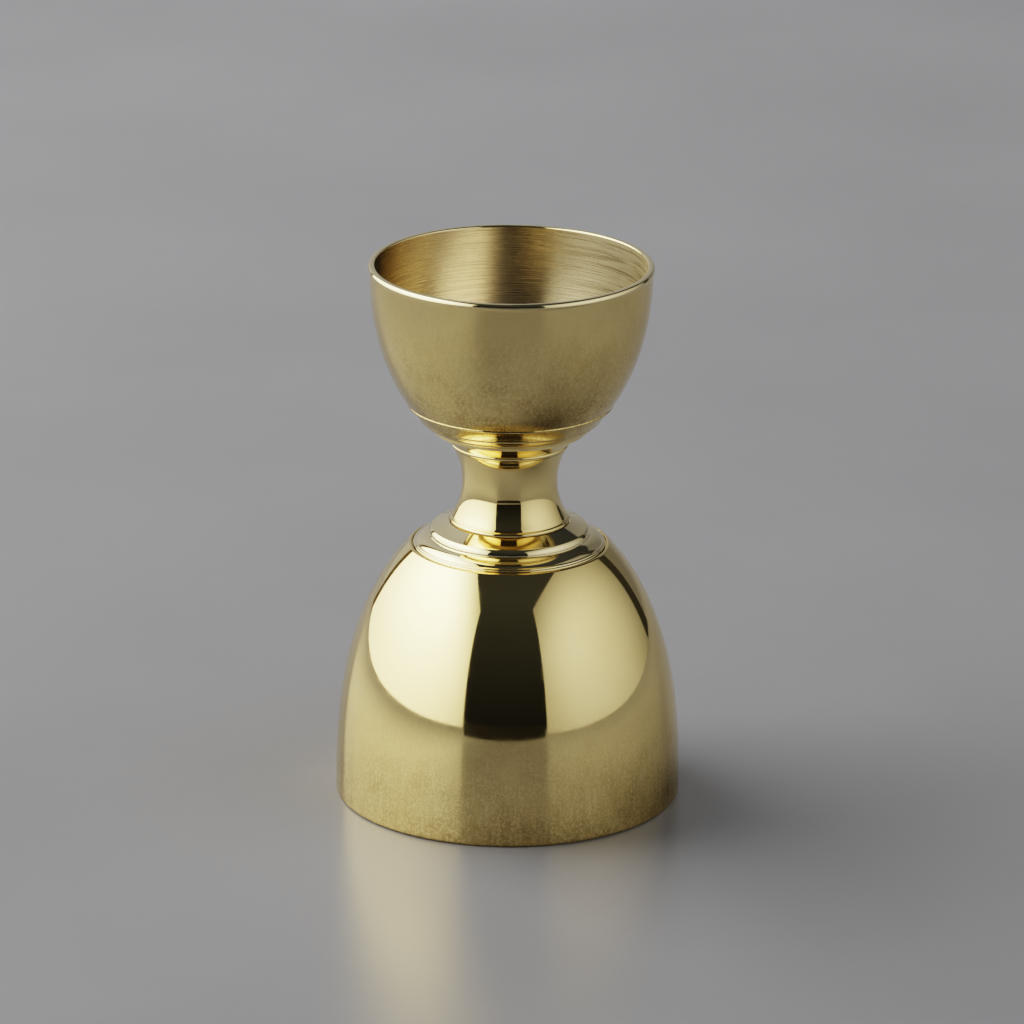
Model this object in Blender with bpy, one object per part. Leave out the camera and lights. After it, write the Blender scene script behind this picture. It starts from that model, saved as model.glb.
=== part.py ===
"""Double-ended bell jigger in polished brass, 30 ml cup over a 60 ml bell, built as a bench assembly.

The spun bell and the spun cup each carry a tapped boss brazed to their closed end. A turned waist and two
turned collars stack between them, and one stud through the waist draws everything together.
Origin: centre of the base circle, on the surface the jigger stands on. +Z runs up the common axis.
"""

import math

import bmesh
import bpy

MM = 0.001

# Driving dimensions of the whole jigger.
HEIGHT = 88.0 * MM
BASE_RADIUS = 27.75 * MM
RIM_RADIUS = 22.7 * MM
SEAT_GAP = 0.3 * MM
SEGMENTS = 48
SHARP_ANGLE = math.radians(35)
MERGE_DISTANCE = 1e-7

# Both cups follow a dome curve: (r / radius)^2 + (distance from the mouth / reach)^power = 1.
# A crowd under 1 gathers the levels of the bell's curves near its crown.
BELL_WALL = 1.5 * MM
BELL_REACH = 48.8 * MM
BELL_POWER = 2.55
CROWN_Z = 40.9 * MM
CROWN_THICKNESS = 2.2 * MM
CROWN_SEAT_RADIUS = 15.6 * MM
CROWN_SEAT_EDGE = 0.1 * MM
SHOULDER_Z = 41.7 * MM
CROWN_FILLET = 4.0 * MM
BASE_EDGE = 0.5 * MM
INNER_CROWD, OUTER_CROWD = 0.7, 0.65

# Cup: the lip stands a little outside the wall, and a spigot under the floor centres the cup in its collar.
CUP_RADIUS = 22.5 * MM
CUP_WALL = 0.9 * MM
CUP_REACH = 32.1 * MM
CUP_POWER = 2.19
CUP_BOTTOM_Z = 60.9 * MM
CUP_SPIGOT_RADIUS = 12.0 * MM
CUP_SHOULDER_Z = 61.75 * MM
CUP_FLOOR_Z = 61.9 * MM
CUP_FLOOR_FILLET = 3.0 * MM
CUP_BEAD_Z = 65.15 * MM
LIP_HEIGHT = 1.1 * MM
LIP_EDGE = 0.45 * MM

# Turned beads, as width along the surface and rise above it.
BEAD_WIDTH = 0.7 * MM
BEAD_RISE = 0.16 * MM

# Waist: the neck is one concave arc about its narrowest level.
NECK_RADIUS = 7.65 * MM
NECK_Z = 52.2 * MM
NECK_ARC = 11.7 * MM
FOOT_RADIUS = 9.55 * MM
FOOT_HEIGHT = 0.9 * MM
FOOT_Z = 45.3 * MM
HEAD_Z = 58.0 * MM

# Shoulder collar: two sloping terraces. Each pair runs from the terrace's outer edge to its inner edge.
OUTER_TERRACE = ((15.0 * MM, 42.15 * MM), (12.95 * MM, 43.3 * MM))
INNER_TERRACE = ((12.5 * MM, 44.4 * MM), (9.95 * MM, 45.55 * MM))

# Cup collar: a coved washer between the waist and the cup.
CUP_COLLAR_RADII = (9.5 * MM, 13.2 * MM)
CUP_COLLAR_EDGE = 0.35 * MM
CUP_COLLAR_COVE = 0.3 * MM

# Stud, bosses and brazing. The hollow sets how far the fillet's face bows in, as a share of its leg.
STUD_RADIUS = 2.5 * MM
STUD_CHAMFER = 0.5 * MM
BOSS_RADIUS = 5.0 * MM
LARGE_BOSS_HEIGHT = 7.6 * MM
SMALL_BOSS_HEIGHT = 5.4 * MM
BRAZE_LEG = 1.2 * MM
BRAZE_HOLLOW = 0.35
STUD_END_CLEARANCE = 0.8 * MM

BORE_RADIUS = BOSS_RADIUS + SEAT_GAP
THREAD_RADIUS = STUD_RADIUS + SEAT_GAP
BRAZE_RELIEF_RADIUS = BOSS_RADIUS + SEAT_GAP + BRAZE_LEG + SEAT_GAP
BRAZE_RELIEF_HEIGHT = BRAZE_LEG + 2 * SEAT_GAP

# Finishes: name, colour and roughness.
POLISHED_BRASS = ("polished_brass", (0.87, 0.72, 0.38), 0.08)
MACHINED_BRASS = ("machined_brass", (0.78, 0.62, 0.30), 0.35)
SILVER_BRAZE = ("silver_braze", (0.72, 0.68, 0.55), 0.45)
PLATED_STEEL = ("plated_steel", (0.62, 0.62, 0.60), 0.30)


def bend(start, corner, end, steps):
    """Points of a rounded corner: a quadratic curve from start to end that leans on corner."""
    points = []
    for i in range(steps + 1):
        t = i / steps
        weights = ((1 - t) ** 2, 2 * t * (1 - t), t**2)
        r, z = (sum(w * p[k] for w, p in zip(weights, (start, corner, end))) for k in (0, 1))
        points.append((r, z))
    return points


def bead(start, end, rise, steps=5):
    """Points of a raised bead from start to end. It stands out to the right of that direction."""
    along_r, along_z = end[0] - start[0], end[1] - start[1]
    length = math.hypot(along_r, along_z)
    points = []
    for i in range(steps + 1):
        t = i / steps
        out = rise * math.sin(math.pi * t) / length
        points.append((start[0] + along_r * t + along_z * out, start[1] + along_z * t - along_r * out))
    return points


def bell_radius(z, wall=0.0):
    return (BASE_RADIUS - wall) * math.sqrt(1 - (z / (BELL_REACH - wall)) ** BELL_POWER)


def cup_radius(z, wall=0.0):
    return (CUP_RADIUS - wall) * math.sqrt(1 - ((HEIGHT - z) / (CUP_REACH - wall)) ** CUP_POWER)


def curve_up(radius_at, low, high, steps, crowd=1.0):
    """Points on a curve r = radius_at(z) from low to high. A crowd under 1 gathers them near high."""
    levels = [low + (high - low) * (i / steps) ** crowd for i in range(steps + 1)]
    return [(radius_at(z), z) for z in levels]


def neck_radius(z):
    return NECK_RADIUS + NECK_ARC - math.sqrt(NECK_ARC**2 - (z - NECK_Z) ** 2)


def material(name, colour, roughness):
    made = bpy.data.materials.new(name)
    made.use_nodes = True
    shader = made.node_tree.nodes["Principled BSDF"]
    shader.inputs["Base Color"].default_value = (*colour, 1.0)
    shader.inputs["Metallic"].default_value = 1.0
    shader.inputs["Roughness"].default_value = roughness
    return made


def turned(name, outline, finish, segments=SEGMENTS):
    """One solid of revolution about Z. The outline runs anticlockwise, and may start and end on the axis."""
    bm = bmesh.new()
    verts = [bm.verts.new((r, 0, z)) for r, z in outline]
    on_axis = outline[0][0] == 0 and outline[-1][0] == 0
    pairs = list(zip(verts, verts[1:]))
    if not on_axis:
        pairs.append((verts[-1], verts[0]))
    edges = [bm.edges.new(pair) for pair in pairs]
    bmesh.ops.spin(
        bm, geom=verts + edges, cent=(0, 0, 0), axis=(0, 0, 1),
        angle=math.tau, steps=segments, use_merge=True,
    )
    bmesh.ops.remove_doubles(bm, verts=bm.verts, dist=MERGE_DISTANCE)
    bmesh.ops.recalc_face_normals(bm, faces=bm.faces)
    mesh = bpy.data.meshes.new(name)
    bm.to_mesh(mesh)
    bm.free()
    mesh.materials.append(finish)
    mesh.shade_smooth()
    mesh.set_sharp_from_angle(angle=SHARP_ANGLE)
    made = bpy.data.objects.new(name, mesh)
    bpy.context.scene.collection.objects.link(made)
    return made


def large_cup(finish):
    """Spun bell: base edge, outer curve, seat for the collar, then the hollow from its ceiling down."""
    ceiling = CROWN_Z - CROWN_THICKNESS

    def inner(z):
        return bell_radius(z, BELL_WALL)

    wall_end = ceiling - CROWN_FILLET / 2
    corner = inner(ceiling)
    outline = [(0, ceiling)]
    outline += bend((corner - CROWN_FILLET, ceiling), (corner, ceiling), (inner(wall_end), wall_end), 3)
    outline += curve_up(inner, BASE_EDGE, wall_end, 7, INNER_CROWD)[-2::-1]
    outline += [(BASE_RADIUS - BELL_WALL + BASE_EDGE / 2, 0)]
    outline += bend((BASE_RADIUS - BASE_EDGE, 0), (BASE_RADIUS, 0), (bell_radius(BASE_EDGE), BASE_EDGE), 3)
    outline += curve_up(bell_radius, BASE_EDGE, SHOULDER_Z, 12, OUTER_CROWD)[1:]
    outline += [(CROWN_SEAT_RADIUS, SHOULDER_Z - CROWN_SEAT_EDGE), (CROWN_SEAT_RADIUS, CROWN_Z), (0, CROWN_Z)]
    return turned("large_cup", outline, finish)


def shoulder_collar(finish):
    """Stepped collar on the bell's crown. Its bore clears the boss, and its foot clears the brazing."""
    bottom = CROWN_Z + SEAT_GAP
    edge = CROWN_SEAT_RADIUS - SEAT_GAP
    outer_edge, outer_foot = OUTER_TERRACE
    inner_edge, inner_foot = INNER_TERRACE
    recess = FOOT_Z - SEAT_GAP
    relief_top = bottom + BRAZE_RELIEF_HEIGHT
    outline = [(BRAZE_RELIEF_RADIUS, bottom), (edge, bottom)]
    outline += bead((edge, SHOULDER_Z), outer_edge, BEAD_RISE, 4)
    outline += bead(outer_edge, outer_foot, BEAD_RISE, 4)[1:]
    outline += bead(outer_foot, inner_edge, BEAD_RISE, 4)[1:]
    outline += [inner_foot, (FOOT_RADIUS + SEAT_GAP, recess), (BORE_RADIUS, recess)]
    outline += [(BORE_RADIUS, relief_top), (BRAZE_RELIEF_RADIUS, relief_top)]
    return turned("shoulder_collar", outline, finish)


def waist(finish):
    """Turned waist: beaded foot and concave neck, bored from both ends for the bosses."""
    foot_top = FOOT_Z + FOOT_HEIGHT
    foot_rise = FOOT_RADIUS - neck_radius(foot_top)
    lower_bore_end = CROWN_Z + SEAT_GAP + LARGE_BOSS_HEIGHT + SEAT_GAP
    upper_bore_end = CUP_BOTTOM_Z - SEAT_GAP - SMALL_BOSS_HEIGHT - SEAT_GAP
    outline = [(BORE_RADIUS, FOOT_Z)]
    outline += bead((neck_radius(foot_top), FOOT_Z), (neck_radius(foot_top), foot_top), foot_rise)
    outline += curve_up(neck_radius, foot_top, HEAD_Z, 10)[1:]
    outline += [(BORE_RADIUS, HEAD_Z), (BORE_RADIUS, upper_bore_end), (THREAD_RADIUS, upper_bore_end)]
    outline += [(THREAD_RADIUS, lower_bore_end), (BORE_RADIUS, lower_bore_end)]
    return turned("waist", outline, finish)


def cup_collar(finish):
    """Coved collar that takes the cup's spigot in its top and stands on the waist."""
    bottom, top = HEAD_Z + SEAT_GAP, CUP_SHOULDER_Z - SEAT_GAP
    low, high = CUP_COLLAR_RADII
    seat = CUP_BOTTOM_Z - SEAT_GAP
    socket = CUP_SPIGOT_RADIUS + SEAT_GAP
    relief_foot = seat - BRAZE_RELIEF_HEIGHT
    outline = [(BORE_RADIUS, bottom)]
    outline += bend((low - CUP_COLLAR_EDGE, bottom), (low, bottom), (low, bottom + CUP_COLLAR_EDGE), 3)
    outline += bead((low, bottom + CUP_COLLAR_EDGE), (high, top - CUP_COLLAR_EDGE), -CUP_COLLAR_COVE)[1:]
    outline += bend((high, top - CUP_COLLAR_EDGE), (high, top), (high - CUP_COLLAR_EDGE, top), 3)[1:]
    outline += [(socket, top), (socket, seat), (BRAZE_RELIEF_RADIUS, seat)]
    outline += [(BRAZE_RELIEF_RADIUS, relief_foot), (BORE_RADIUS, relief_foot)]
    return turned("cup_collar", outline, finish)


def small_cup(finish):
    """Spun cup: spigot, two beads on the outer curve, rounded lip, then the bowl down to its floor."""

    def inner(z):
        return cup_radius(z, CUP_WALL)

    wall_end = CUP_FLOOR_Z + CUP_FLOOR_FILLET / 2
    shoulder = (cup_radius(CUP_SHOULDER_Z), CUP_SHOULDER_Z)
    shoulder_top = (cup_radius(CUP_SHOULDER_Z + BEAD_WIDTH), CUP_SHOULDER_Z + BEAD_WIDTH)
    bead_foot = (cup_radius(CUP_BEAD_Z), CUP_BEAD_Z)
    bead_top = (cup_radius(CUP_BEAD_Z + BEAD_WIDTH), CUP_BEAD_Z + BEAD_WIDTH)
    lip_foot = HEIGHT - LIP_HEIGHT
    inside = CUP_RADIUS - CUP_WALL
    corner = inner(CUP_FLOOR_Z)
    outline = [(0, CUP_BOTTOM_Z), (CUP_SPIGOT_RADIUS, CUP_BOTTOM_Z), (CUP_SPIGOT_RADIUS, CUP_SHOULDER_Z)]
    outline += bead(shoulder, shoulder_top, BEAD_RISE, 3)
    outline += curve_up(cup_radius, shoulder_top[1], bead_foot[1], 3)[1:]
    outline += bead(bead_foot, bead_top, BEAD_RISE, 3)[1:]
    outline += curve_up(cup_radius, bead_top[1], lip_foot, 9)[1:]
    outline += bend((RIM_RADIUS, HEIGHT - LIP_EDGE), (RIM_RADIUS, HEIGHT), (RIM_RADIUS - LIP_EDGE, HEIGHT), 3)
    outline += bend((inside + LIP_EDGE / 2, HEIGHT), (inside, HEIGHT), (inside, HEIGHT - LIP_EDGE / 2), 2)
    outline += curve_up(inner, wall_end, lip_foot, 8)[::-1]
    floor_edge = (corner - CUP_FLOOR_FILLET, CUP_FLOOR_Z)
    outline += bend((inner(wall_end), wall_end), (corner, CUP_FLOOR_Z), floor_edge, 3)[1:]
    outline += [(0, CUP_FLOOR_Z)]
    return turned("small_cup", outline, finish)


def boss(name, low, high, finish):
    """Tapped boss. Its bore is drawn at the thread's clearance radius."""
    outline = [(THREAD_RADIUS, low), (BOSS_RADIUS, low), (BOSS_RADIUS, high), (THREAD_RADIUS, high)]
    return turned(name, outline, finish, SEGMENTS // 2)


def braze_ring(name, seat, direction, finish):
    """Fillet of filler metal in the corner of a boss and the cup it stands on."""
    foot = seat + direction * SEAT_GAP
    near = BOSS_RADIUS + SEAT_GAP
    far = near + BRAZE_LEG
    tip = foot + direction * BRAZE_LEG
    bow = BRAZE_LEG * BRAZE_HOLLOW
    middle = (near + bow, foot + direction * bow)
    outline = [(near, foot)] + bend((far, foot), middle, (near, tip), 4)
    return turned(name, outline[:: int(direction)], finish, SEGMENTS // 2)


def tie_stud(finish):
    """Stud that screws into both bosses, with chamfered ends."""
    low = CROWN_Z + STUD_END_CLEARANCE
    high = CUP_BOTTOM_Z - STUD_END_CLEARANCE
    inset = STUD_RADIUS - STUD_CHAMFER
    outline = [(0, low), (inset, low), (STUD_RADIUS, low + STUD_CHAMFER)]
    outline += [(STUD_RADIUS, high - STUD_CHAMFER), (inset, high), (0, high)]
    return turned("tie_stud", outline, finish, SEGMENTS // 2)


def main():
    for old in list(bpy.data.objects):
        bpy.data.objects.remove(old)
    polished = material(*POLISHED_BRASS)
    machined = material(*MACHINED_BRASS)
    filler = material(*SILVER_BRAZE)
    steel = material(*PLATED_STEEL)
    large_cup(polished)
    shoulder_collar(polished)
    waist(polished)
    cup_collar(polished)
    small_cup(polished)
    large_boss_foot = CROWN_Z + SEAT_GAP
    small_boss_head = CUP_BOTTOM_Z - SEAT_GAP
    boss("large_cup_boss", large_boss_foot, large_boss_foot + LARGE_BOSS_HEIGHT, machined)
    boss("small_cup_boss", small_boss_head - SMALL_BOSS_HEIGHT, small_boss_head, machined)
    braze_ring("large_cup_braze", CROWN_Z, 1, filler)
    braze_ring("small_cup_braze", CUP_BOTTOM_Z, -1, filler)
    tie_stud(steel)


main()
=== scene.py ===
"""Polished brass bell jigger on a pale floor, lit by two tall soft boxes with a dark gap between them."""

import math

import bpy
from mathutils import Matrix, Vector


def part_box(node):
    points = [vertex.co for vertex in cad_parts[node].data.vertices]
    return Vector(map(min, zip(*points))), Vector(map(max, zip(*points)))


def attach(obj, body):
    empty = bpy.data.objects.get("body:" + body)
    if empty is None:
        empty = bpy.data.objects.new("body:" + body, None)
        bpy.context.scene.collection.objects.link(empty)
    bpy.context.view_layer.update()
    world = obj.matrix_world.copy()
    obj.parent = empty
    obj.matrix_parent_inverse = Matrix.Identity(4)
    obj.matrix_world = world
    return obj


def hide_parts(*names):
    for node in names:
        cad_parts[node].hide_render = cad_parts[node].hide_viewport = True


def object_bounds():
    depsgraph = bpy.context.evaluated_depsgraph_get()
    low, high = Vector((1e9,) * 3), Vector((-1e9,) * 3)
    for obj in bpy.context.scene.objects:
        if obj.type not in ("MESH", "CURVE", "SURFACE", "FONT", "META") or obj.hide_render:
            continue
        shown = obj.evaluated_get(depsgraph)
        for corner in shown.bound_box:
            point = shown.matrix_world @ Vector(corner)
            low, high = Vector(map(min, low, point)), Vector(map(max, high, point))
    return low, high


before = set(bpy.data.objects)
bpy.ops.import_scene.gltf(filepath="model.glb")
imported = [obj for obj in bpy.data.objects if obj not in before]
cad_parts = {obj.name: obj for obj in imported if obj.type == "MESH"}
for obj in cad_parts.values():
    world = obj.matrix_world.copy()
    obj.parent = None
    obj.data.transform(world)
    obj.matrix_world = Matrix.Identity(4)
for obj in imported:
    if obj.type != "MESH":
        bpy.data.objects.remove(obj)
cad_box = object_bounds()

MM = 0.001
SEGMENTS = 192
SHARP_ANGLE = math.radians(38)
ON_AXIS = 1e-6
SAME_POINT = 1e-4


# ---------------------------------------------------------------- outlines
def bend(start, corner, end, steps):
    """A rounded corner: a quadratic curve from start to end that leans on corner."""
    points = []
    for i in range(steps + 1):
        t = i / steps
        weights = ((1 - t) ** 2, 2 * t * (1 - t), t**2)
        r, z = (sum(w * p[k] for w, p in zip(weights, (start, corner, end))) for k in (0, 1))
        points.append((r, z))
    return points


def bead(start, end, rise, steps=12):
    """A bead from start to end that swells to the right of that way, or a cove where rise is negative."""
    along_r, along_z = end[0] - start[0], end[1] - start[1]
    length = math.hypot(along_r, along_z)
    points = []
    for i in range(steps + 1):
        t = i / steps
        out = 4 * rise * t * (1 - t) / length
        points.append((start[0] + along_r * t + along_z * out, start[1] + along_z * t - along_r * out))
    return points


def rising(radius_at, low, high, steps):
    """Points on the curve r = radius_at(z), from low to high."""
    levels = [low + (high - low) * i / steps for i in range(steps + 1)]
    return [(radius_at(z), z) for z in levels]


def line(start, end, steps):
    return [tuple(a + (b - a) * i / steps for a, b in zip(start, end)) for i in range(steps + 1)]


def lathe(name, outline, materials, split=None):
    """A closed solid of revolution from an anticlockwise outline in millimetres.

    split(r, z) picks the material index of the band that starts at a point of the outline.
    """
    points = []
    for r, z in outline:
        if not points or math.hypot(r - points[-1][0], z - points[-1][1]) > SAME_POINT:
            points.append((r, z))
    closed_on_axis = points[0][0] < ON_AXIS and points[-1][0] < ON_AXIS
    verts, rings = [], []
    for r, z in points:
        if r < ON_AXIS:
            rings.append([len(verts)] * SEGMENTS)
            verts.append((0.0, 0.0, z * MM))
            continue
        rings.append(list(range(len(verts), len(verts) + SEGMENTS)))
        for k in range(SEGMENTS):
            turn = math.tau * k / SEGMENTS
            verts.append((r * MM * math.cos(turn), r * MM * math.sin(turn), z * MM))
    faces, choices = [], []
    count = len(points)
    for i in range(count - 1 if closed_on_axis else count):
        low, high = rings[i], rings[(i + 1) % count]
        choice = split(*points[i]) if split else 0
        for k in range(SEGMENTS):
            n = (k + 1) % SEGMENTS
            corners = [low[k], low[n], high[n], high[k]]
            face = [c for j, c in enumerate(corners) if c != corners[j - 1]]
            if len(face) > 2:
                faces.append(face)
                choices.append(choice)
    mesh = bpy.data.meshes.new(name)
    mesh.from_pydata(verts, [], faces)
    mesh.validate()
    for material in materials:
        mesh.materials.append(material)
    mesh.polygons.foreach_set("material_index", choices)
    mesh.shade_smooth()
    mesh.set_sharp_from_angle(angle=SHARP_ANGLE)
    piece = bpy.data.objects.new(name, mesh)
    bpy.context.scene.collection.objects.link(piece)
    return piece


# ---------------------------------------------------------------- node helpers
def new_material(name):
    made = bpy.data.materials.new(name)
    made.use_nodes = True
    return made, made.node_tree, made.node_tree.nodes["Principled BSDF"]


def node(tree, kind, **settings):
    made = tree.nodes.new(kind)
    for key, value in settings.items():
        setattr(made, key, value)
    return made


def feed(tree, target, value):
    if isinstance(value, bpy.types.NodeSocket):
        tree.links.new(value, target)
    else:
        target.default_value = value


def maths(tree, operation, a, b=0.0, c=0.0):
    made = node(tree, "ShaderNodeMath", operation=operation)
    for socket, value in zip(made.inputs, (a, b, c)):
        feed(tree, socket, value)
    return made.outputs[0]


def remap(tree, value, low, high, to_low, to_high):
    made = node(tree, "ShaderNodeMapRange")
    keys = ("Value", "From Min", "From Max", "To Min", "To Max")
    for key, given in zip(keys, (value, low, high, to_low, to_high)):
        feed(tree, made.inputs[key], given)
    return made.outputs[0]


def noise(tree, vector, scale, detail, roughness):
    made = node(tree, "ShaderNodeTexNoise")
    feed(tree, made.inputs["Vector"], vector)
    for key, given in (("Scale", scale), ("Detail", detail), ("Roughness", roughness)):
        made.inputs[key].default_value = given
    return made.outputs["Fac"]


def blend_colours(tree, factor, a, b):
    made = node(tree, "ShaderNodeMix", data_type="RGBA")
    feed(tree, made.inputs[0], factor)
    for socket, value in ((made.inputs[6], a), (made.inputs[7], b)):
        feed(tree, socket, (*value, 1.0) if isinstance(value, tuple) else value)
    return made.outputs[2]


def coordinates(tree):
    """(object coordinates, their x, y and z)."""
    place = node(tree, "ShaderNodeTexCoord").outputs["Object"]
    parts = node(tree, "ShaderNodeSeparateXYZ")
    tree.links.new(place, parts.inputs[0])
    return place, *parts.outputs


def radius_of(tree, x, y):
    """The distance from the vertical axis."""
    squares = maths(tree, "ADD", maths(tree, "MULTIPLY", x, x), maths(tree, "MULTIPLY", y, y))
    return maths(tree, "SQRT", squares)


def lathe_coordinates(tree, slope, along=0.012):
    """(object coordinates, their z, a vector that runs fast across turning marks and slowly round them).

    slope is 1 where a surface climbs outwards, like a cup's, and -1 where it falls outwards, like a bell's.
    """
    place, x, y, z = coordinates(tree)
    across = maths(tree, "MULTIPLY_ADD", radius_of(tree, x, y), slope, z)
    marks = node(tree, "ShaderNodeCombineXYZ")
    feed(tree, marks.inputs[0], maths(tree, "MULTIPLY", x, along))
    feed(tree, marks.inputs[1], maths(tree, "MULTIPLY", y, along))
    feed(tree, marks.inputs[2], across)
    return place, z, marks.outputs[0]


def upright_coordinates(tree, place):
    """A vector that runs slowly up the object, for marks drawn out along its height."""
    drawn = node(tree, "ShaderNodeVectorMath", operation="MULTIPLY")
    tree.links.new(place, drawn.inputs[0])
    drawn.inputs[1].default_value = (1.0, 1.0, 0.07)
    return drawn.outputs[0]


def bump(tree, height, distance, normal=None):
    made = node(tree, "ShaderNodeBump")
    made.inputs["Strength"].default_value = 1.0
    made.inputs["Distance"].default_value = distance
    feed(tree, made.inputs["Height"], height)
    if normal is not None:
        tree.links.new(normal, made.inputs["Normal"])
    return made.outputs[0]


# ---------------------------------------------------------------- metals
CLEAN_BRASS, WARM_BRASS = (0.93, 0.755, 0.39), (0.89, 0.70, 0.345)
BRIGHT_BRASS, PALE_BRASS = (0.95, 0.82, 0.51), (0.92, 0.78, 0.47)
# Darker brass for the brushed insides: painted shade for the hollows.
SHADED_BRASS, SHADED_DARK_BRASS = (0.62, 0.54, 0.41), (0.54, 0.465, 0.34)
TURNED_BRASS, TURNED_SHADE = (0.80, 0.64, 0.32), (0.72, 0.55, 0.25)
BRAZE, BRAZE_SHADE = (0.74, 0.70, 0.56), (0.62, 0.55, 0.40)
ZINC, ZINC_SHADE = (0.66, 0.66, 0.65), (0.55, 0.56, 0.57)
SCRATCH = (0.40, 0.34, 0.23)
# Brown of the dark speckle: partly tarnish, partly painted reflection of the floor.
TARNISH_AND_REFLECTION = (0.45, 0.33, 0.15)


def polished_brass(name, colours, slope, speckle_start=0.0, speckle_full=1.0, speckle_most=0.0):
    """Bright brass clouded between two colours, with faint turning marks, handling haze and a dark speckle.

    The dark speckle is partly tarnish and partly a painted reflection of the speckled floor. It grows from
    nothing at speckle_start to speckle_most at speckle_full, both heights in millimetres. Without them
    there is none.
    """
    made, tree, shader = new_material(name)
    place, z, marks = lathe_coordinates(tree, slope)
    clouds = noise(tree, place, scale=70, detail=3, roughness=0.55)
    haze = noise(tree, place, scale=320, detail=4, roughness=0.6)
    speckle = noise(tree, place, scale=2500, detail=2, roughness=0.75)
    blotches = noise(tree, place, scale=240, detail=4, roughness=0.6)
    runs = noise(tree, upright_coordinates(tree, place), scale=2100, detail=2, roughness=0.6)
    # Dark speckle: partly tarnish, partly a painted reflection of the speckled floor.
    flecks = remap(tree, maths(tree, "MULTIPLY_ADD", runs, 0.35, speckle), 0.56, 0.72, 0.2, 1.0)
    blotchiness = remap(tree, blotches, 0.42, 0.66, 0.6, 1.0)
    reach = remap(tree, z, speckle_start * MM, speckle_full * MM, 0.0, speckle_most)
    tarnish_and_floor_reflection = maths(tree, "MULTIPLY", maths(tree, "MULTIPLY", flecks, blotchiness), reach)
    colour = blend_colours(tree, remap(tree, clouds, 0.35, 0.65, 0.0, 1.0), *colours)
    colour = blend_colours(tree, tarnish_and_floor_reflection, colour, TARNISH_AND_REFLECTION)
    tree.links.new(colour, shader.inputs["Base Color"])
    shader.inputs["Metallic"].default_value = 1.0
    rough = remap(tree, haze, 0.35, 0.7, 0.035, 0.075)
    rough = maths(tree, "MULTIPLY_ADD", tarnish_and_floor_reflection, 0.1, rough)
    tree.links.new(rough, shader.inputs["Roughness"])
    waves = bump(tree, noise(tree, place, scale=110, detail=1, roughness=0.4), 1.2e-5)
    lines = bump(tree, noise(tree, marks, scale=5200, detail=3, roughness=0.6), 9e-8, waves)
    tree.links.new(lines, shader.inputs["Normal"])
    return made


def brushed_brass(name, slope):
    """Brass finished with abrasive in the lathe: fine rings that smear reflections across them."""
    made, tree, shader = new_material(name)
    place, _, marks = lathe_coordinates(tree, slope, 0.014)
    scratches = noise(tree, marks, scale=5200, detail=2, roughness=0.6)
    streaks = noise(tree, marks, scale=3900, detail=3, roughness=0.7)
    clouds = noise(tree, place, scale=90, detail=3, roughness=0.5)
    # The inside's brass is darker than the outside's: painted shade for the hollow.
    colour = blend_colours(tree, remap(tree, clouds, 0.35, 0.65, 0.0, 1.0), SHADED_BRASS, SHADED_DARK_BRASS)
    colour = blend_colours(tree, remap(tree, streaks, 0.5, 0.68, 0.0, 0.42), colour, SCRATCH)
    tree.links.new(colour, shader.inputs["Base Color"])
    shader.inputs["Metallic"].default_value = 1.0
    shader.inputs["Anisotropic"].default_value = 0.8
    shader.inputs["Anisotropic Rotation"].default_value = 0.21
    tangent = node(tree, "ShaderNodeTangent", direction_type="RADIAL", axis="Z")
    tree.links.new(tangent.outputs[0], shader.inputs["Tangent"])
    tree.links.new(remap(tree, streaks, 0.3, 0.7, 0.20, 0.36), shader.inputs["Roughness"])
    tree.links.new(bump(tree, scratches, 1.4e-5), shader.inputs["Normal"])
    return made


def machined_metal(name, colours, roughness):
    """As turned, with plain tool marks round the axis."""
    made, tree, shader = new_material(name)
    _, _, marks = lathe_coordinates(tree, 1.0)
    fine = noise(tree, marks, scale=3000, detail=3, roughness=0.6)
    colour = blend_colours(tree, remap(tree, fine, 0.3, 0.7, 0.0, 1.0), *colours)
    tree.links.new(colour, shader.inputs["Base Color"])
    shader.inputs["Metallic"].default_value = 1.0
    tree.links.new(remap(tree, fine, 0.3, 0.7, *roughness), shader.inputs["Roughness"])
    tree.links.new(bump(tree, fine, 2e-6), shader.inputs["Normal"])
    return made


polished_bell = polished_brass("bell_brass", (CLEAN_BRASS, WARM_BRASS), -1.0, 22.0, 2.0, 0.85)
polished_collars = polished_brass("collar_brass", (CLEAN_BRASS, WARM_BRASS), 1.0)
bright_brass = polished_brass("bright_brass", (BRIGHT_BRASS, PALE_BRASS), 1.0)
polished_cup = polished_brass("cup_brass", (CLEAN_BRASS, WARM_BRASS), 1.0, 88.0, 66.0, 0.9)
brushed_inside = brushed_brass("brushed_brass", 1.0)
brushed_bell = brushed_brass("brushed_bell_brass", -1.0)

# ---------------------------------------------------------------- sizes, in millimetres
SEAT_GAP = 0.3
BASE_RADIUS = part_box("large_cup")[1][0] / MM
CROWN_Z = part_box("shoulder_collar")[0][2] / MM - SEAT_GAP
RIM_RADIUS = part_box("small_cup")[1][0] / MM
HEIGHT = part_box("small_cup")[1][2] / MM
CUP_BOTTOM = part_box("small_cup")[0][2] / MM
HEAD_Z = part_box("waist")[1][2] / MM

# Both cups are domes: (r / radius)^2 + (distance from the mouth / reach)^power = 1.
# Their fillets are given as the reach along the flat and the reach along the wall.
BELL_WALL, BELL_REACH, BELL_POWER = 1.5, 48.8, 2.55
BELL_TOP = 41.62
BELL_FOOT_EDGE = 0.5
BELL_TOP_EDGE = 0.12
COLLAR_SEAT_RADIUS = 15.56
CROWN_THICKNESS = 2.2
CEILING_FILLET = (4.0, 2.0)

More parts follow.
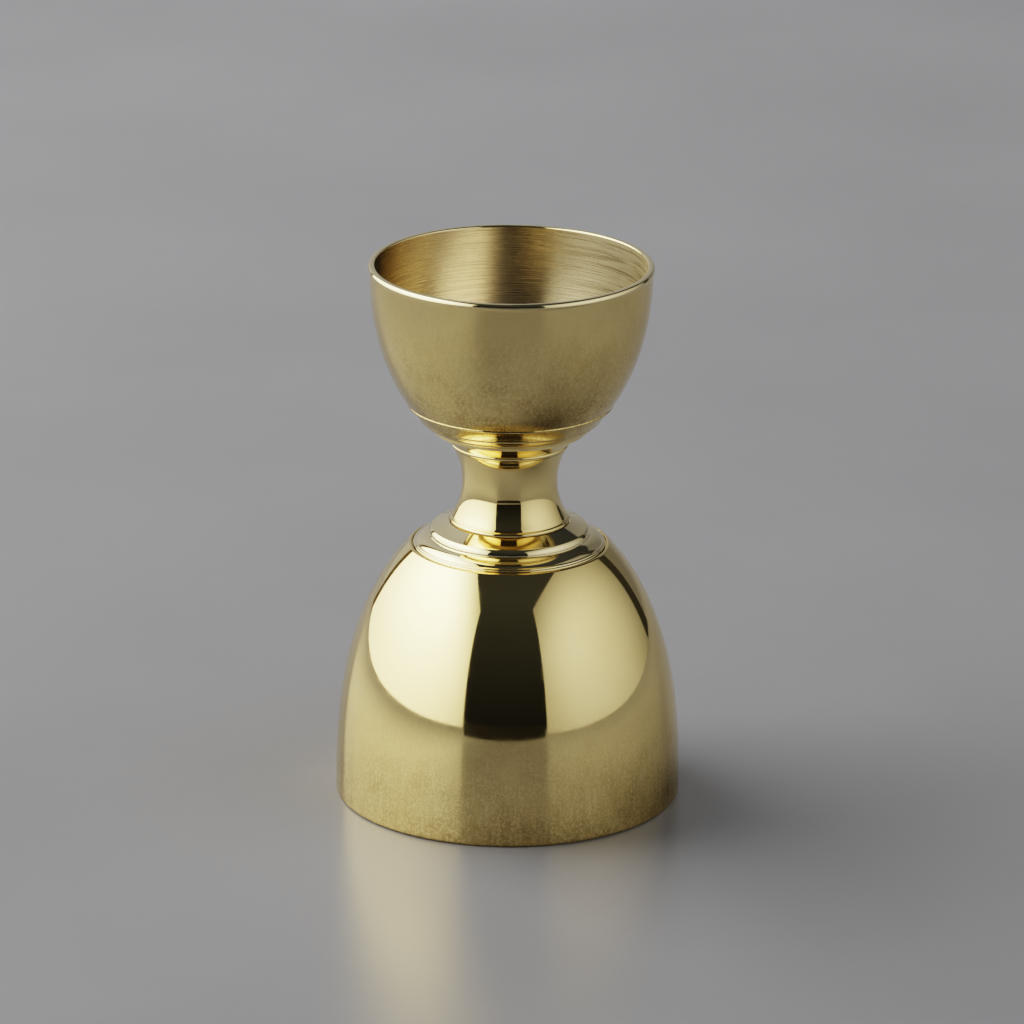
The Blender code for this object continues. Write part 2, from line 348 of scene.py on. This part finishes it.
CUP_WALL, CUP_REACH, CUP_POWER = 0.9, 32.1, 2.19
CUP_RADIUS = RIM_RADIUS - 0.2
CUP_FLOOR = CUP_BOTTOM + 1.0
CUP_FLOOR_FILLET = (3.0, 1.5)
SPIGOT_RADIUS = 12.0
LIP_HEIGHT = 1.15
# Height of the paler band along the lip, a painted highlight.
PALE_LIP_BAND = 0.74

NECK_RADIUS, NECK_Z, NECK_ARC = 7.65, 52.2, 11.7

# Room inside the stack for the bosses, their brazing and the stud.
BORE_RADIUS = 5.3
BRAZE_RADIUS, BRAZE_HEIGHT = 6.8, 1.8
STUD_BORE_RADIUS = 2.8


def dome(radius, reach, power, distance):
    return radius * math.sqrt(max(0.0, 1 - (distance / reach) ** power))


def bell_outer(z):
    return dome(BASE_RADIUS, BELL_REACH, BELL_POWER, z)


def bell_inner(z):
    return dome(BASE_RADIUS - BELL_WALL, BELL_REACH - BELL_WALL, BELL_POWER, z)


def cup_outer(z):
    return dome(CUP_RADIUS, CUP_REACH, CUP_POWER, HEIGHT - z)


def cup_inner(z):
    return dome(CUP_RADIUS - CUP_WALL, CUP_REACH - CUP_WALL, CUP_POWER, HEIGHT - z)


def neck(z):
    """One concave arc about the neck's narrowest level."""
    return NECK_RADIUS + NECK_ARC - math.sqrt(NECK_ARC**2 - (z - NECK_Z) ** 2)


# ---------------------------------------------------------------- pieces
def make_large_cup():
    """The bell, hollow from below, with the collar's seat on its crown."""
    ceiling = CROWN_Z - CROWN_THICKNESS
    corner = bell_inner(ceiling)
    flat_end = (corner - CEILING_FILLET[0], ceiling)
    wall_top = ceiling - CEILING_FILLET[1]
    outline = line((0, ceiling), flat_end, 30)
    outline += bend(flat_end, (corner, ceiling), (bell_inner(wall_top), wall_top), 14)
    outline += rising(bell_inner, BELL_FOOT_EDGE, wall_top, 70)[::-1]

    foot = BASE_RADIUS - BELL_WALL
    inner_round, outer_round = 0.35, 0.45
    foot_edge = (bell_outer(BELL_FOOT_EDGE), BELL_FOOT_EDGE)
    outline += bend((foot, BELL_FOOT_EDGE), (foot, 0.0), (foot + inner_round, 0.0), 6)
    outline += bend((BASE_RADIUS - outer_round, 0.0), (BASE_RADIUS, 0.0), foot_edge, 8)

    shoulder = BELL_TOP - BELL_TOP_EDGE
    outer_corner = (bell_outer(BELL_TOP) - 0.02, BELL_TOP + 0.04)
    crest = (COLLAR_SEAT_RADIUS + 0.2, BELL_TOP + 0.06)
    outline += rising(bell_outer, BELL_FOOT_EDGE, shoulder, 110)
    outline += bend((bell_outer(shoulder), shoulder), outer_corner, crest, 6)
    outline += bend(crest, (COLLAR_SEAT_RADIUS, BELL_TOP + 0.05), (COLLAR_SEAT_RADIUS, shoulder), 6)
    outline += [(COLLAR_SEAT_RADIUS, CROWN_Z), (0, CROWN_Z)]
    return lathe("brass_bell", outline, [polished_bell, brushed_bell], bell_finish)


def bell_finish(r, z):
    """Brushed inside."""
    return 1 if z < CROWN_Z - 1.0 and r < bell_inner(max(z, BELL_FOOT_EDGE)) + 0.05 else 0


def make_shoulder_collar():
    """Two terraces: beads at the edge, a sloping face, a rounded riser and a coved top under the neck."""
    bottom = CROWN_Z + 0.05
    edge, edge_bead_end = (15.42, 41.6), (15.2, 41.88)
    second_bead, groove = ((15.18, 41.9), (14.98, 42.14)), (14.96, 42.16)
    terrace_foot, terrace_top = (14.8, 42.24), (13.0, 43.27)
    riser_foot, riser_top = (12.86, 43.38), (12.4, 44.42)
    cove = (12.36, 44.44), (9.74, 45.5)
    neck_seat = (9.7, 45.2)
    braze_top = bottom + BRAZE_HEIGHT
    outline = [(BRAZE_RADIUS, bottom), (edge[0], bottom), edge]
    outline += bead(edge, edge_bead_end, 0.07)
    outline += bead(*second_bead, 0.06)
    outline += bend(groove, (14.88, 42.14), terrace_foot, 4)
    outline += bead(terrace_foot, terrace_top, 0.13, 18)
    outline += bend(terrace_top, (12.88, 43.27), riser_foot, 4)
    outline += bead(riser_foot, riser_top, 0.12, 16)
    outline += bead(*cove, -0.04, 20)
    outline += [neck_seat, (BORE_RADIUS, neck_seat[1])]
    outline += [(BORE_RADIUS, braze_top), (BRAZE_RADIUS, braze_top)]
    return lathe("stepped_collar", outline, [bright_brass])


def make_waist():
    """The neck over its beaded foot. Its bore is narrow round the stud and wide round both bosses."""
    bottom = (9.45, 45.25)
    bead_foot, bead_top = (9.6, 45.62), (9.3, 46.16)
    neck_foot = 46.42
    narrow_low, narrow_high = 49.1, 54.9
    outline = [(BORE_RADIUS, bottom[1]), bottom]
    outline += bend(bottom, (9.6, 45.3), bead_foot, 5)
    outline += bead(bead_foot, bead_top, 0.13)
    outline += bend(bead_top, (9.2, 46.2), (neck(neck_foot), neck_foot), 4)
    outline += rising(neck, neck_foot, HEAD_Z, 60)
    outline += [(BORE_RADIUS, HEAD_Z), (BORE_RADIUS, narrow_high), (STUD_BORE_RADIUS, narrow_high)]
    outline += [(STUD_BORE_RADIUS, narrow_low), (BORE_RADIUS, narrow_low)]
    return lathe("turned_waist", outline, [polished_collars])


def make_cup_collar():
    """A coved collar on a beaded foot, hollowed above for the cup's spigot and its brazing."""
    bottom = HEAD_Z + 0.06
    foot_bead = (9.22, bottom), (9.46, bottom + 0.55)
    cove = (9.42, bottom + 0.62), (13.2, 61.6)
    edge_top = 61.86
    spigot_radius, spigot_seat = SPIGOT_RADIUS + 0.3, 60.8
    braze_bottom = 58.8
    outline = [(BORE_RADIUS, bottom), (9.2, bottom)]
    outline += bead(*foot_bead, 0.1)
    outline += bead(*cove, -0.32, 30)
    outline += bend(cove[1], (13.32, 61.7), (13.3, 61.84), 5)
    outline += [(13.1, edge_top), (spigot_radius, edge_top), (spigot_radius, spigot_seat)]
    outline += [(BRAZE_RADIUS, spigot_seat), (BRAZE_RADIUS, braze_bottom), (BORE_RADIUS, braze_bottom)]
    return lathe("coved_collar", outline, [polished_collars])


def cup_bead(low, high, rise, steps=12):
    return bead((cup_outer(low), low), (cup_outer(high), high), rise, steps)


def make_small_cup():
    """The cup: two beads at its foot, a fine ring low on the bowl, a rounded lip and a flat floor."""
    shoulder, lower_bead_top = 61.92, 62.72
    upper_bead, band, ring = (62.75, 63.1), (63.13, 65.0), (65.02, 65.42)
    bowl_foot = 65.45
    outline = line((0, CUP_BOTTOM), (SPIGOT_RADIUS, CUP_BOTTOM), 4)
    outline += [(SPIGOT_RADIUS, shoulder), (13.36, shoulder)]
    outline += bead((13.4, shoulder), (cup_outer(lower_bead_top), lower_bead_top), 0.1)
    outline += cup_bead(*upper_bead, 0.1)
    outline += rising(cup_outer, *band, 16)
    outline += cup_bead(*ring, 0.17, 10)

    lip = HEIGHT - LIP_HEIGHT
    lip_side = (RIM_RADIUS - 0.02, lip + 0.42)
    outline += rising(cup_outer, bowl_foot, lip, 70)
    outline += bend((cup_outer(lip), lip), (cup_outer(lip) + 0.01, lip + 0.2), lip_side, 6)
    outline += bend(lip_side, (RIM_RADIUS + 0.01, HEIGHT), (RIM_RADIUS - 0.5, HEIGHT), 14)

    inside = CUP_RADIUS - CUP_WALL
    corner = cup_inner(CUP_FLOOR)
    flat_end = (corner - CUP_FLOOR_FILLET[0], CUP_FLOOR)
    wall_foot = CUP_FLOOR + CUP_FLOOR_FILLET[1]
    outline += bend((inside + 0.3, HEIGHT), (inside, HEIGHT), (inside, HEIGHT - 0.3), 8)
    outline += rising(cup_inner, wall_foot, HEIGHT - 0.35, 90)[::-1]
    outline += bend((cup_inner(wall_foot), wall_foot), (corner, CUP_FLOOR), flat_end, 14)
    outline += line(flat_end, (0, CUP_FLOOR), 30)
    return lathe("brass_cup", outline, [polished_cup, brushed_inside, bright_brass], cup_finish)


def cup_finish(r, z):
    """Brushed inside, with a paler brass band along the lip as a painted highlight."""
    if CUP_FLOOR - 0.01 <= z < HEIGHT - 0.2 and r < cup_inner(max(z, CUP_FLOOR)) + 0.02:
        return 1
    return 2 if z > HEIGHT - PALE_LIP_BAND else 0


for make, cad_node in (
    (make_large_cup, "large_cup"),
    (make_shoulder_collar, "shoulder_collar"),
    (make_waist, "waist"),
    (make_cup_collar, "cup_collar"),
    (make_small_cup, "small_cup"),
):
    piece = make()
    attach(piece, "root")
    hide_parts(cad_node)

turned_brass = machined_metal("turned_brass", (TURNED_BRASS, TURNED_SHADE), (0.25, 0.42))
braze_alloy = machined_metal("braze_alloy", (BRAZE, BRAZE_SHADE), (0.35, 0.55))
plated_steel = machined_metal("zinc_plate", (ZINC, ZINC_SHADE), (0.22, 0.38))
for cad_node, material in (
    ("large_cup_boss", turned_brass),
    ("small_cup_boss", turned_brass),
    ("large_cup_braze", braze_alloy),
    ("small_cup_braze", braze_alloy),
    ("tie_stud", plated_steel),
):
    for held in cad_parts[cad_node].material_slots:
        held.material = material

# ---------------------------------------------------------------- floor and backdrop, in metres
FLOOR_GREY, FLOOR_LIGHT = (0.208, 0.206, 0.211), (0.236, 0.234, 0.240)
FLOOR_IOR = 1.5
FLOOR_SIDES, FLOOR_RINGS, FIRST_RING, RING_GROWTH = 120, 31, 0.02, 1.15
BACKDROP_TINT = (0.97, 0.98, 1.0, 1.0)
# Strengths of the backdrop's glow: painted light, brighter on the left.
BACKDROP_GLOW_LEFT, BACKDROP_GLOW_RIGHT = 0.48, 0.145
BACKDROP_START = 1.4
BACKDROP_SWEEP = 0.5


def direction(azimuth):
    """The level direction at an azimuth counted from the camera's side (-Y), positive towards +X."""
    a = math.radians(azimuth)
    return Vector((math.sin(a), -math.cos(a), 0))


def studio_material():
    """A pale floor that is semi-gloss at the jigger and loses its gloss to the sides.

    Further out it turns into a backdrop that glows instead of being lit: painted light, brighter on the
    left, the side of the strong soft box.
    """
    made, tree, shader = new_material("pale_studio")
    place, x, y, _ = coordinates(tree)
    radius = radius_of(tree, x, y)
    aside = maths(tree, "ABSOLUTE", x)
    cloud = noise(tree, place, scale=9, detail=4, roughness=0.55)
    colour = blend_colours(tree, remap(tree, cloud, 0.3, 0.7, 0.0, 1.0), FLOOR_GREY, FLOOR_LIGHT)
    tree.links.new(colour, shader.inputs["Base Color"])
    polish = remap(tree, radius, 0.04, 0.22, 0.28, 0.34)
    rough = maths(tree, "ADD", polish, remap(tree, aside, 0.08, 0.34, 0.0, 0.64))
    tree.links.new(rough, shader.inputs["Roughness"])
    shader.inputs["IOR"].default_value = FLOOR_IOR
    tree.links.new(remap(tree, aside, 0.06, 0.5, 0.28, 0.0), shader.inputs["Specular IOR Level"])
    glow = node(tree, "ShaderNodeEmission")
    glow.inputs["Color"].default_value = BACKDROP_TINT
    tree.links.new(remap(tree, x, -0.9, 0.9, BACKDROP_GLOW_LEFT, BACKDROP_GLOW_RIGHT), glow.inputs["Strength"])
    mix = node(tree, "ShaderNodeMixShader")
    tree.links.new(remap(tree, radius, 0.8, BACKDROP_START, 0.0, 1.0), mix.inputs[0])
    tree.links.new(shader.outputs[0], mix.inputs[1])
    tree.links.new(glow.outputs[0], mix.inputs[2])
    tree.links.new(mix.outputs[0], tree.nodes["Material Output"].inputs["Surface"])
    return made


def stage_piece(name, verts, faces, material):
    mesh = bpy.data.meshes.new(name)
    mesh.from_pydata(verts, [], faces)
    mesh.shade_smooth()
    mesh.materials.append(material)
    made = bpy.data.objects.new(name, mesh)
    bpy.context.scene.collection.objects.link(made)
    return made


def only_mirrored(made):
    """Hides a stage piece from everything but the reflections in the brass and the floor."""
    made.visible_camera = False
    made.visible_diffuse = False
    made.visible_shadow = False


def make_floor(material):
    radii = [FIRST_RING * RING_GROWTH**i for i in range(FLOOR_RINGS)] + [BACKDROP_START]
    sides = FLOOR_SIDES
    verts = [(0, 0, 0)]
    for r in radii:
        verts += [(*(direction(360 * k / sides) * r).xy, 0) for k in range(sides)]
    faces = [(0, 1 + k, 1 + (k + 1) % sides) for k in range(sides)]
    for i in range(len(radii) - 1):
        a, b = 1 + i * sides, 1 + (i + 1) * sides
        faces += [(a + k, b + k, b + (k + 1) % sides, a + (k + 1) % sides) for k in range(sides)]
    stage_piece("floor", verts, faces, material)


def make_backdrop(name, material, start, end, top, only_camera):
    """The sweep from the floor up to a round wall, between two azimuths.

    One that is there only for the camera makes no reflection and stops no light.
    """
    bends, steps = 16, 48
    turns = [math.pi / 2 * i / bends for i in range(bends + 1)]
    sweep = BACKDROP_SWEEP
    profile = [(BACKDROP_START + sweep * math.sin(a), sweep - sweep * math.cos(a)) for a in turns]
    profile += [(BACKDROP_START + sweep, top)]
    verts = []
    for r, z in profile:
        verts += [(*(direction(start + (end - start) * k / steps) * r).xy, z) for k in range(steps + 1)]
    row = steps + 1
    faces = []
    for i in range(len(profile) - 1):
        a, b = i * row, (i + 1) * row
        faces += [(a + k, b + k, b + k + 1, a + k + 1) for k in range(steps)]
    made = stage_piece(name, verts, faces, material)
    if only_camera:
        made.visible_glossy = False
        made.visible_diffuse = False
        made.visible_shadow = False


def make_flag(name, azimuth, distance, width, low, high, colour):
    """A card on edge, there for the darker line that it makes in reflections."""
    out, along = direction(azimuth) * distance, direction(azimuth + 90) * (width / 2)
    verts = [(*c.xy, z) for z in (low, high) for c in (out - along, out + along)]
    made, tree, shader = new_material(name)
    shader.inputs["Base Color"].default_value = (*colour, 1.0)
    shader.inputs["Roughness"].default_value = 0.9
    only_mirrored(stage_piece(name, verts, [(0, 1, 3, 2)], made))


studio = studio_material()
make_floor(studio)
make_backdrop("right_backdrop", studio, 50, 180, 1.2, False)
make_backdrop("left_backdrop", studio, 180, 310, 2.6, False)
make_backdrop("front_backdrop", studio, -50, 50, 1.2, True)
make_flag("front_flag", -2, 0.36, 0.36, 0.0, 0.025, (0.01, 0.01, 0.01))
make_flag("left_flag", -141.8, 0.5, 0.055, 0.0, 0.6, (0.30, 0.22, 0.15))
make_flag("right_flag", 132.5, 0.58, 0.09, 0.0, 0.6, (0.03, 0.03, 0.03))


# ---------------------------------------------------------------- light
def squared_offset(tree, value, middle, spread):
    """The square of the distance from the middle, counted in spreads."""
    offset = maths(tree, "DIVIDE", maths(tree, "SUBTRACT", value, middle), spread)
    return maths(tree, "MULTIPLY", offset, offset)


def soft_box(name, facing, distance, left, right, low, high, hot_spot, spread, radiance, tint):
    """A tall diffuser, brightest at its hot spot, whose middle normal lies at the facing azimuth.

    left and right are the azimuths of its ends. hot_spot and spread are distances along it and up it.
    """
    outward, along = direction(facing), direction(facing + 90)
    ends = [math.tan(math.radians(a - facing)) * distance for a in (left, right)]
    corners = [(ends[0], low), (ends[1], low), (ends[1], high), (ends[0], high)]
    verts = [(*(outward * distance + along * u).xy, h) for u, h in corners]
    made, tree, shader = new_material(name)
    tree.nodes.remove(shader)
    place, _, _, z = coordinates(tree)
    reach = node(tree, "ShaderNodeVectorMath", operation="DOT_PRODUCT")
    tree.links.new(place, reach.inputs[0])
    reach.inputs[1].default_value = along
    sideways = squared_offset(tree, reach.outputs["Value"], hot_spot[0], spread[0])
    upwards = squared_offset(tree, z, hot_spot[1], spread[1])
    falloff = maths(tree, "ADD", 1.0, maths(tree, "ADD", sideways, upwards))
    glow = node(tree, "ShaderNodeEmission")
    glow.inputs["Color"].default_value = (*tint, 1.0)
    tree.links.new(maths(tree, "DIVIDE", radiance, falloff), glow.inputs["Strength"])
    tree.links.new(glow.outputs[0], tree.nodes["Material Output"].inputs["Surface"])
    only_mirrored(stage_piece(name, verts, [(0, 1, 2, 3)], made))


soft_box(
    "left_soft_box", facing=-97, distance=0.36, left=-140, right=-30, low=0.010, high=0.92,
    hot_spot=(0.0, 0.36), spread=(0.43, 0.28), radiance=5.8, tint=(1.0, 0.985, 0.77),
)
soft_box(
    "right_soft_box", facing=73, distance=0.34, left=26, right=127, low=0.003, high=0.535,
    hot_spot=(-0.08, 0.19), spread=(0.32, 0.25), radiance=0.93, tint=(1.0, 0.98, 0.88),
)


def floor_light(name, place, aim, size, energy):
    """A soft light for the floor. The brass doesn't mirror it: the soft boxes stand for it there."""
    light = bpy.data.lights.new(name, "AREA")
    light.shape = "RECTANGLE"
    light.size, light.size_y = size
    light.energy = energy
    lamp = bpy.data.objects.new(name, light)
    facing = aim.to_track_quat("-Z", "Y").to_matrix().to_4x4()
    lamp.matrix_world = Matrix.Translation(place) @ facing
    lamp.visible_glossy = False
    bpy.context.scene.collection.objects.link(lamp)


left_place = direction(-114) * 1.1 + Vector((0, 0, 0.85))
right_place = direction(72) * 1.15 + Vector((0, 0, 0.8))
floor_light("left_light", left_place, -left_place, (1.6, 1.2), 28)
floor_light("right_light", right_place, -right_place, (1.4, 1.0), 8.2)
floor_light("back_light", Vector((0, 0.75, 1.35)), Vector((0, 0.55, -0.85)), (2.4, 0.8), 2.2)

# The room behind it all is dim, and brighter overhead than at the floor.
ROOM_TINT = (0.84, 0.92, 1.0, 1.0)
ROOM_LOW, ROOM_HIGH = 0.014, 0.055
world = bpy.data.worlds.new("room")
world.use_nodes = True
air = world.node_tree
sky = node(air, "ShaderNodeSeparateXYZ")
air.links.new(node(air, "ShaderNodeTexCoord").outputs["Generated"], sky.inputs[0])
background = air.nodes["Background"]
background.inputs["Color"].default_value = ROOM_TINT
air.links.new(remap(air, sky.outputs[2], -0.1, 0.8, ROOM_LOW, ROOM_HIGH), background.inputs["Strength"])
bpy.context.scene.world = world

# ---------------------------------------------------------------- camera
PITCH, ROLL = math.radians(18.686), math.radians(0.463)
DISTANCE = 1.0549
LENS, SENSOR = 232.03, 36
AIM_ASIDE, AIM_LEVEL = 0.0004, 0.53
AIM = Vector((AIM_ASIDE, 0, AIM_LEVEL * cad_box[1][2]))
forward = Vector((0, math.cos(PITCH), -math.sin(PITCH)))
level = Vector((1, 0, 0))
rise = level.cross(forward)
right = level * math.cos(ROLL) + rise * math.sin(ROLL)
up = rise * math.cos(ROLL) - level * math.sin(ROLL)
camera_data = bpy.data.cameras.new("camera")
camera_data.sensor_width = SENSOR
camera_data.lens = LENS
camera_data.clip_start, camera_data.clip_end = 0.05, 20
camera = bpy.data.objects.new("camera", camera_data)
place = AIM - forward * DISTANCE
rows = [(right[k], up[k], -forward[k], place[k]) for k in range(3)]
camera.matrix_world = Matrix((*rows, (0, 0, 0, 1)))
bpy.context.scene.collection.objects.link(camera)
bpy.context.scene.camera = camera
bpy.context.scene.view_settings.view_transform = "Filmic"
bpy.context.scene.view_settings.look = "High Contrast"
